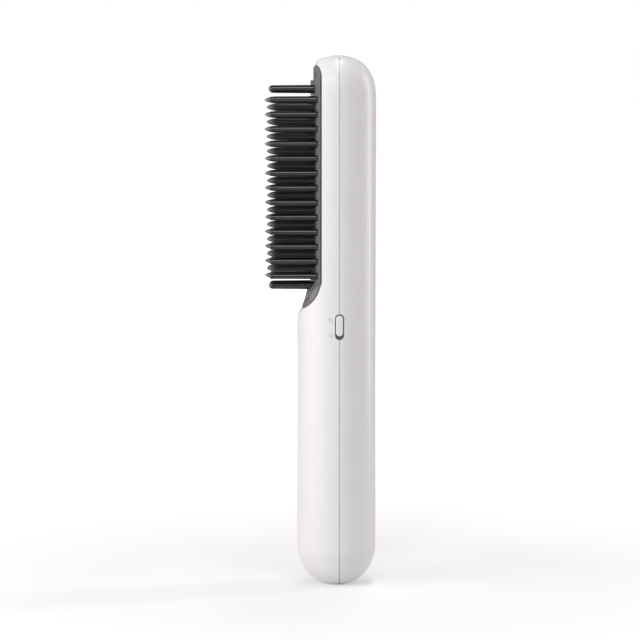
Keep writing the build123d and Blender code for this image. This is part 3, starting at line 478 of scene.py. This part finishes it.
class BrushSizes(bpy.types.PropertyGroup):
    """Sizes of the teeth and marks."""

    row_pitch: bpy.props.FloatProperty(
        name="Row pitch",
        description="Height between two rows of one column",
        default=6.76 * MM,
        unit="LENGTH",
    )
    first_row: bpy.props.FloatProperty(
        name="First row",
        description="Height of the lowest even row",
        default=144.4 * MM,
        unit="LENGTH",
    )
    rows: bpy.props.IntProperty(name="Rows", description="Number of even rows", default=13)
    middle_column: bpy.props.FloatProperty(
        name="Middle column",
        description="Distance of the stout teeth from the middle",
        default=5.8 * MM,
        unit="LENGTH",
    )
    outer_column: bpy.props.FloatProperty(
        name="Outer column",
        description="Distance of the frame's teeth from the middle",
        default=11.6 * MM,
        unit="LENGTH",
    )
    on_mark: bpy.props.FloatProperty(
        name="Upper mark",
        description="Height of the ring mark with the dash",
        default=124.4 * MM,
        unit="LENGTH",
    )
    off_mark: bpy.props.FloatProperty(
        name="Lower mark",
        description="Height of the plain ring mark",
        default=117.4 * MM,
        unit="LENGTH",
    )
    mark_radius: bpy.props.FloatProperty(
        name="Mark radius",
        description="Outer radius of a ring mark",
        default=0.95 * MM,
        unit="LENGTH",
    )
    mark_stroke: bpy.props.FloatProperty(
        name="Mark stroke",
        description="Width of a printed line",
        default=0.24 * MM,
        unit="LENGTH",
    )


class BrushColours(bpy.types.PropertyGroup):
    """Colours of the main finishes, as sRGB hex codes."""

    housing: bpy.props.StringProperty(
        name="Housing", description="White housing", default="#ecebeb"
    )
    frame: bpy.props.StringProperty(
        name="Frame", description="Dark frame", default="#707072"
    )
    plate: bpy.props.StringProperty(
        name="Plate", description="Coated plate and heated teeth", default="#1a1a1d"
    )


# Finishes, made once and shared by the operators


def finishes(colours):
    """All materials by a short key. Each is named for the real one.

    Moulded ones give colour, worn colour, roughness, grain, its depth, refractive index and
    perhaps a tip. Metals give colour, worn colour, roughness, line and how the lines stretch.
    """
    return {
        # ABS from a satin mould: even white, soft gloss
        "housing": moulded(
            "white ABS, moulded satin", colours.housing, "#e8e7e7", 0.34, 0.35, 0.002, 1.53
        ),
        # glass-filled nylon from an eroded mould: dark grey, fine grain, dull gloss
        "frame": moulded(
            "dark glass-filled nylon, moulded", colours.frame, "#767678", 0.36, 0.3, 0.008, 1.53
        ),
        # the same nylon from polished tooth cavities: darker and glossier, with a painted highlight
        # that makes the ends paler
        "nylon_teeth": moulded(
            "dark nylon, moulded in polished cavities",
            "#19191c",
            "#202023",
            0.08,
            0.3,
            0.0006,
            1.62,
            (30.2, 31.0, "#646468"),
        ),
        # ceramic coat baked on cast aluminium: dark, hard, a dull sheen, and a painted highlight
        # that makes it paler towards the tips
        "plate": moulded(
            "ceramic coated aluminium, baked",
            colours.plate,
            "#232326",
            0.3,
            0.25,
            0.002,
            1.6,
            (28.2, 32.4, "#747478"),
        ),
        # thermoplastic rubber: grey and dull
        "rubber": moulded(
            "grey thermoplastic rubber, moulded", "#4a4a4c", "#555557", 0.7, 0.25, 0.02, 1.5
        ),
        # acetal of the shutter behind the slot: mid grey, waxy
        "shutter": moulded("grey acetal, moulded", "#b2b0b0", "#a8a6a6", 0.4, 0.3, 0.004, 1.48),
        # liquid crystal polymer of switches and chips: near black, fine flow grain
        "switch": moulded(
            "black liquid crystal polymer, moulded", "#1a1a1c", "#242426", 0.45, 0.3, 0.01, 1.6
        ),
        # shrink sleeve of a cell: smooth and slightly glossy
        "sleeve": moulded("teal shrink sleeve", "#1f6f86", "#257a92", 0.35, 1.2, 0.01, 1.52),
        # mica: pale brown flakes pressed in a sheet
        "mica": moulded("pressed mica sheet", "#b7a27c", "#8f7a58", 0.4, 1.4, 0.02, 1.58),
        # silicone lead sleeve: soft and dull
        "red_lead": moulded("red silicone sleeve", "#a3201c", "#b22a24", 0.55, 0.5, 0.01, 1.43),
        "black_lead": moulded("black silicone sleeve", "#1d1d1f", "#2a2a2c", 0.55, 0.5, 0.01, 1.43),
        # glass fibre sleeve of the hot leads: off-white, coarse weave
        "white_lead": moulded(
            "woven glass fibre sleeve", "#d8d2c2", "#b9b09a", 0.8, 0.45, 0.06, 1.5
        ),
        # pad-printed grey ink: thin, even, a little dull
        "ink": moulded(
            "grey printing ink, pad printed", "#b3afb0", "#bebaba", 0.5, 0.2, 0.002, 1.5
        ),
        # gold flash on the socket's stamped contacts: bright yellow, smooth
        "gold": metal("gold flashed bronze, stamped", "#d8b25c", "#c79f49", 0.22, 0.3),
        # zinc plated steel: bright with a faint rolled line
        "zinc": metal("zinc plated steel", "#c9c9c6", "#aeb0b0", 0.32, 0.5),
        # nickel plated stamping of the socket and the cell's strips: bright and slightly warm
        "nickel": metal(
            "nickel plated steel, stamped", "#cfcac2", "#b5b0a8", 0.25, 0.4, (1, 1, 0.2)
        ),
        # drawn aluminium jacket of the heater: pale, with lines along its length
        "drawn": metal("drawn aluminium", "#c8c9cc", "#b0b1b4", 0.35, 0.3, (1, 1, 0.05)),
        # glass epoxy board under solder mask: glossy green, tracks paler
        "board": solder_mask("glass epoxy board, green mask", "#12512c", "#2f7a44"),
        # polycarbonate from a frosted mould: clear and milky
        "clear": clear_moulded("clear polycarbonate, frosted", "#e8ecec", "#f4f6f6"),
    }


def finish(key):
    """The shared material for a key, made on first use."""
    if not FINISHES:
        FINISHES.update(finishes(bpy.context.scene.brush_colours))
    return FINISHES[key]


# Teeth


def face_depth(y):
    """Depth of the comb's face at y, the higher of the frame's crown and the ridge's crown.

    A crown is its crest less R, plus the root of R squared less y squared.
    """
    depths = []
    for crest, crown in ((FRAME_CREST, FRAME_CROWN), (RIDGE_CREST, RIDGE_CROWN)):
        depths.append(crest - crown + np.sqrt(np.maximum(crown**2 - np.square(y), 0)))
    return np.maximum(*depths)


def tooth_skin(y, z, tip, root, shoulder, nose, power):
    """One turned tooth along -X that stands on the comb's face.

    Its radius flares at the root by a falling exponential, tapers straight to the shoulder,
    and ends in a nose of radius shoulder times (1 less u squared) to a power.
    The root rings follow the face, fading out over 2 mm.
    """
    seat = float(face_depth(y))
    reach = tip - seat
    stem = np.concatenate(
        [[-TOOTH_SINK], np.linspace(0, FLARE_END, 6), np.linspace(STEM_START, reach - nose, 6)]
    )
    along = np.clip(stem / (reach - nose), 0, 1)
    flare = FLARE * np.exp(-np.maximum(stem, 0) / FLARE_FADE)
    stem_radius = root + (shoulder - root) * along + flare
    u = np.sin(np.linspace(0, math.pi / 2, 14))[1:-1]
    nose_radius = shoulder * (1 - u**2) ** power
    s = np.concatenate([stem, reach - nose + nose * u])
    r = np.concatenate([stem_radius, nose_radius])
    turn = np.linspace(0, 2 * math.pi, TOOTH_TURNS, endpoint=False)
    ys = y + r[:, None] * np.cos(turn)
    zs = z + r[:, None] * np.sin(turn)
    follow = np.clip(1 - s / FOLLOW_END, 0, 1)[:, None]
    xs = -(seat + s[:, None]) + follow * (seat - face_depth(ys))
    rings = np.stack([xs, ys, zs], -1)
    return closed_skin(rings, (-(seat - TOOTH_SINK), y, z), (-tip, y, z))


def row_heights(sizes):
    """Heights of the even rows and of the odd rows between them."""
    even = sizes.first_row + sizes.row_pitch * np.arange(sizes.rows)
    return even, even[:-1] + sizes.row_pitch / 2


# Marks and contacts


def on_handle(x, z, lift):
    """Points on the handle's side: y is minus the root of R squared less x squared, less a lift."""
    return np.stack([x, -np.sqrt(BODY_RADIUS**2 - x**2) - lift, z], -1)


def ring_mark(x, z, radius, stroke):
    """A printed ring that follows the handle: a four-cornered section carried round a circle."""
    turn = np.linspace(0, 2 * math.pi, RING_TURNS, endpoint=False)[:, None]
    across = radius - np.array([stroke, 0, 0, stroke])
    lift = np.array(INK_SECTION) * INK + np.zeros_like(turn)
    return loop_skin(on_handle(x + across * np.cos(turn), z + across * np.sin(turn), lift))


def dash_mark(x, z, length, stroke, tilt):
    """A short printed dash, tilted on the handle: a section carried along a line.

    Its half width is half the stroke times the root of (1 less the sixth power of the way along).
    """
    along = np.linspace(-1, 1, 17)[1:-1, None]
    half = stroke / 2 * (1 - along**6) ** 0.5
    across = half * np.array([1.0, -1.0, -1.0, 1.0])
    lift = np.array(INK_SECTION) * INK + np.zeros_like(along)
    run = along * length / 2
    xs = x + run * math.cos(tilt) - across * math.sin(tilt)
    zs = z + run * math.sin(tilt) + across * math.cos(tilt)
    ends = np.array([[-1.0], [1.0]]) * length / 2
    flat = np.zeros_like(ends)
    poles = on_handle(x + ends * math.cos(tilt), z + ends * math.sin(tilt), flat)[:, 0]
    return closed_skin(on_handle(xs, zs, lift), poles[0], poles[1])


def contact_strip(x, y, side):
    """One gold contact on the socket's tongue: a low ellipse carried along Z, drawn in at its ends.

    It is scaled by the fifth root of the sine of an angle that runs from one end to the other.
    """
    turn = np.linspace(0, 2 * math.pi, CONTACT_TURNS, endpoint=False)
    along = np.linspace(*CONTACT_SPAN, CONTACT_RINGS)[:, None] * MM
    way = np.linspace(CONTACT_DRAW, math.pi - CONTACT_DRAW, CONTACT_RINGS)
    grow = np.sin(way)[:, None] ** 0.2
    ys = y + CONTACT_HALF * grow * np.cos(turn) * side
    xs = x + side * CONTACT_RISE * grow * np.sin(turn)
    rings = np.stack([xs, ys, along + np.zeros_like(xs)], -1)
    low, high = CONTACT_POLES
    return closed_skin(rings, (x, y, low * MM), (x, y, high * MM))


# Operators


class BRUSH_OT_stage(bpy.types.Operator):
    """Pale floor, soft studio lamps and the camera at the photographed angle"""

    bl_idname = "brush.stage"
    bl_label = "Studio"

    def execute(self, context):
        scene = context.scene
        across = FLOOR_CELLS + 1
        side = np.linspace(-FLOOR_HALF, FLOOR_HALF, across)
        x, y = np.meshgrid(side, side)
        points = np.stack([x, y, np.zeros_like(x)], -1).reshape(-1, 3)
        cell = np.arange(FLOOR_CELLS)
        corner = (cell[:, None] * across + cell).reshape(-1)
        faces = np.stack([corner, corner + 1, corner + across + 1, corner + across], -1)
        mesh = bpy.data.meshes.new("floor")
        mesh.from_pydata(points.tolist(), [], faces.tolist())
        mesh.materials.append(pale_stage())
        floor = bpy.data.objects.new("floor", mesh)
        scene.collection.objects.link(floor)

        for name, where, wide, tall, power, colour in LAMPS:
            data = bpy.data.lights.new(name, "AREA")
            data.shape = "RECTANGLE"
            data.size = wide
            data.size_y = tall
            data.energy = power
            data.color = colour
            lamp = bpy.data.objects.new(name, data)
            lamp.location = where
            aim = Vector(LAMP_TARGET) - Vector(where)
            lamp.rotation_euler = aim.to_track_quat("-Z", "Y").to_euler()
            scene.collection.objects.link(lamp)
        scene.world = studio_world()

        lens = bpy.data.cameras.new("camera")
        lens.sensor_width = SENSOR_WIDTH
        lens.lens = SENSOR_WIDTH * CAMERA_DISTANCE / VIEW_WIDTH
        camera = bpy.data.objects.new("camera", lens)
        back = CAMERA_DISTANCE * math.cos(CAMERA_PITCH)
        rise = CAMERA_DISTANCE * math.sin(CAMERA_PITCH)
        camera.location = (VIEW_CENTRE[0], -back, VIEW_CENTRE[1] + rise)
        camera.rotation_euler = (math.pi / 2 - CAMERA_PITCH, 0, 0)
        scene.collection.objects.link(camera)
        scene.camera = camera
        scene.view_settings.view_transform = "Standard"
        return {"FINISHED"}


class BRUSH_OT_housing(bpy.types.Operator):
    """The two white half shells"""

    bl_idname = "brush.housing"
    bl_label = "Housing"

    def execute(self, context):
        for name in ("front_shell", "rear_shell"):
            finish_node(name, finish("housing"))
        return {"FINISHED"}


class BRUSH_OT_comb(bpy.types.Operator):
    """The dark frame and the coated plate"""

    bl_idname = "brush.comb"
    bl_label = "Comb frame and plate"

    def execute(self, context):
        finish_node("comb_frame", finish("frame"))
        finish_node("heater_plate", finish("plate"))
        return {"FINISHED"}


class BRUSH_OT_teeth(bpy.types.Operator):
    """All teeth, turned with flared roots and rounded tips"""

    bl_idname = "brush.teeth"
    bl_label = "Teeth"

    def execute(self, context):
        sizes = context.scene.brush_sizes
        even, odd = row_heights(sizes)
        middle, outer = sizes.middle_column, sizes.outer_column
        groups = (
            ("centre_teeth", [0.0], even, CENTRE, "plate", "coated_plate"),
            ("middle_teeth", [-middle, middle], odd, MIDDLE, "plate", "coated_plate"),
            ("outer_teeth", [-outer, outer], even, OUTER, "nylon_teeth", "dark_frame"),
            ("guard_teeth", [-middle, middle], GUARD_ROWS, GUARD, "nylon_teeth", "dark_frame"),
        )
        for name, columns, heights, form, key, slot in groups:
            skins = [tooth_skin(y, z, **form) for y in columns for z in heights]
            piece = make_piece("turned_" + name, skins, HOUSING, finish(key))
            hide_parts(name)
        return {"FINISHED"}


class BRUSH_OT_controls(bpy.types.Operator):
    """The slide switch, the press button and the lights"""

    bl_idname = "brush.controls"
    bl_label = "Controls"

    def execute(self, context):
        for name in ("slide_knob", "temperature_button"):
            finish_node(name, finish("housing"))
        finish_node("slide_shutter", finish("shutter"))
        for name in ("switch_lever", "slide_switch", "tact_plunger", "tact_switch"):
            finish_node(name, finish("switch"))
        for name in ("light_guide", "indicator_lights"):
            finish_node(name, finish("clear"))
        return {"FINISHED"}


class BRUSH_OT_marks(bpy.types.Operator):
    """Printed rings beside the slide switch, the upper one with a dash"""

    bl_idname = "brush.marks"
    bl_label = "Switch marks"

    def execute(self, context):
        sizes = context.scene.brush_sizes
        stroke = sizes.mark_stroke
        heights = (sizes.on_mark, sizes.off_mark)
        shells = [ring_mark(RING_X, z, sizes.mark_radius, stroke) for z in heights]
        dash_z = sizes.on_mark + DASH_RISE
        shells.append(dash_mark(DASH_X, dash_z, DASH_LENGTH, stroke, DASH_TILT))
        make_piece("printed_marks", shells, HOUSING, finish("ink"))
        return {"FINISHED"}


class BRUSH_OT_contacts(bpy.types.Operator):
    """Two rows of gold contacts on the charging socket's tongue"""

    bl_idname = "brush.contacts"
    bl_label = "Socket contacts"

    def execute(self, context):
        row = (np.arange(CONTACTS) - (CONTACTS - 1) / 2) * CONTACT_PITCH
        shells = []
        for side in (-1, 1):
            x = TONGUE_X + side * TONGUE_HALF
            shells += [contact_strip(x, y, side) for y in row]
        make_piece("tongue_contacts", shells, HOUSING, finish("gold"))
        return {"FINISHED"}


class BRUSH_OT_inside(bpy.types.Operator):
    """Everything inside: heater, cell, boards, leads and screws, and the charging socket"""

    bl_idname = "brush.inside"
    bl_label = "Inside and socket"

    def execute(self, context):
        groups = {
            "zinc": (
                "heater_clamps",
                "heater_screws",
                "frame_screws",
                "cradle_screws",
                "board_screws",
                "button_board_screws",
            ),
            "nickel": ("cell_tabs", "usb_c_port"),
            "drawn": ("ptc_heater", "thermal_fuse"),
            "mica": ("insulation_sheet",),
            "switch": ("thermistor", "battery_cradle", "board_components"),
            "sleeve": ("battery_cell",),
            "board": ("main_board", "button_board", "charge_board"),
            "rubber": ("port_surround",),
            "red_lead": ("charge_leads", "supply_lead"),
            "black_lead": ("return_lead",),
            "white_lead": ("heater_leads",),
        }
        for key, names in groups.items():
            for name in names:
                finish_node(name, finish(key))
        return {"FINISHED"}


class BRUSH_PT_panel(bpy.types.Panel):
    """Buttons that build the brush"""

    bl_idname = "BRUSH_PT_panel"
    bl_label = "Heated Brush"
    bl_space_type = "VIEW_3D"
    bl_region_type = "UI"
    bl_category = "Brush"

    def draw(self, context):
        for operator in OPERATORS:
            self.layout.operator(operator.bl_idname)


OPERATORS = (
    BRUSH_OT_stage,
    BRUSH_OT_housing,
    BRUSH_OT_comb,
    BRUSH_OT_teeth,
    BRUSH_OT_controls,
    BRUSH_OT_marks,
    BRUSH_OT_contacts,
    BRUSH_OT_inside,
)
CLASSES = (BrushSizes, BrushColours, *OPERATORS, BRUSH_PT_panel)


def register():
    """Registers the classes and hangs the settings on the scene."""
    for item in CLASSES:
        bpy.utils.register_class(item)
    bpy.types.Scene.brush_sizes = bpy.props.PointerProperty(type=BrushSizes)
    bpy.types.Scene.brush_colours = bpy.props.PointerProperty(type=BrushColours)


def unregister():
    """Takes the settings and classes away again."""
    del bpy.types.Scene.brush_colours
    del bpy.types.Scene.brush_sizes
    for item in reversed(CLASSES):
        bpy.utils.unregister_class(item)


def main():
    """Builds everything."""
    register()
    bpy.ops.brush.stage()
    bpy.ops.brush.housing()
    bpy.ops.brush.comb()
    bpy.ops.brush.teeth()
    bpy.ops.brush.controls()
    bpy.ops.brush.marks()
    bpy.ops.brush.contacts()
    bpy.ops.brush.inside()


if __name__ == "__main__":
    main()
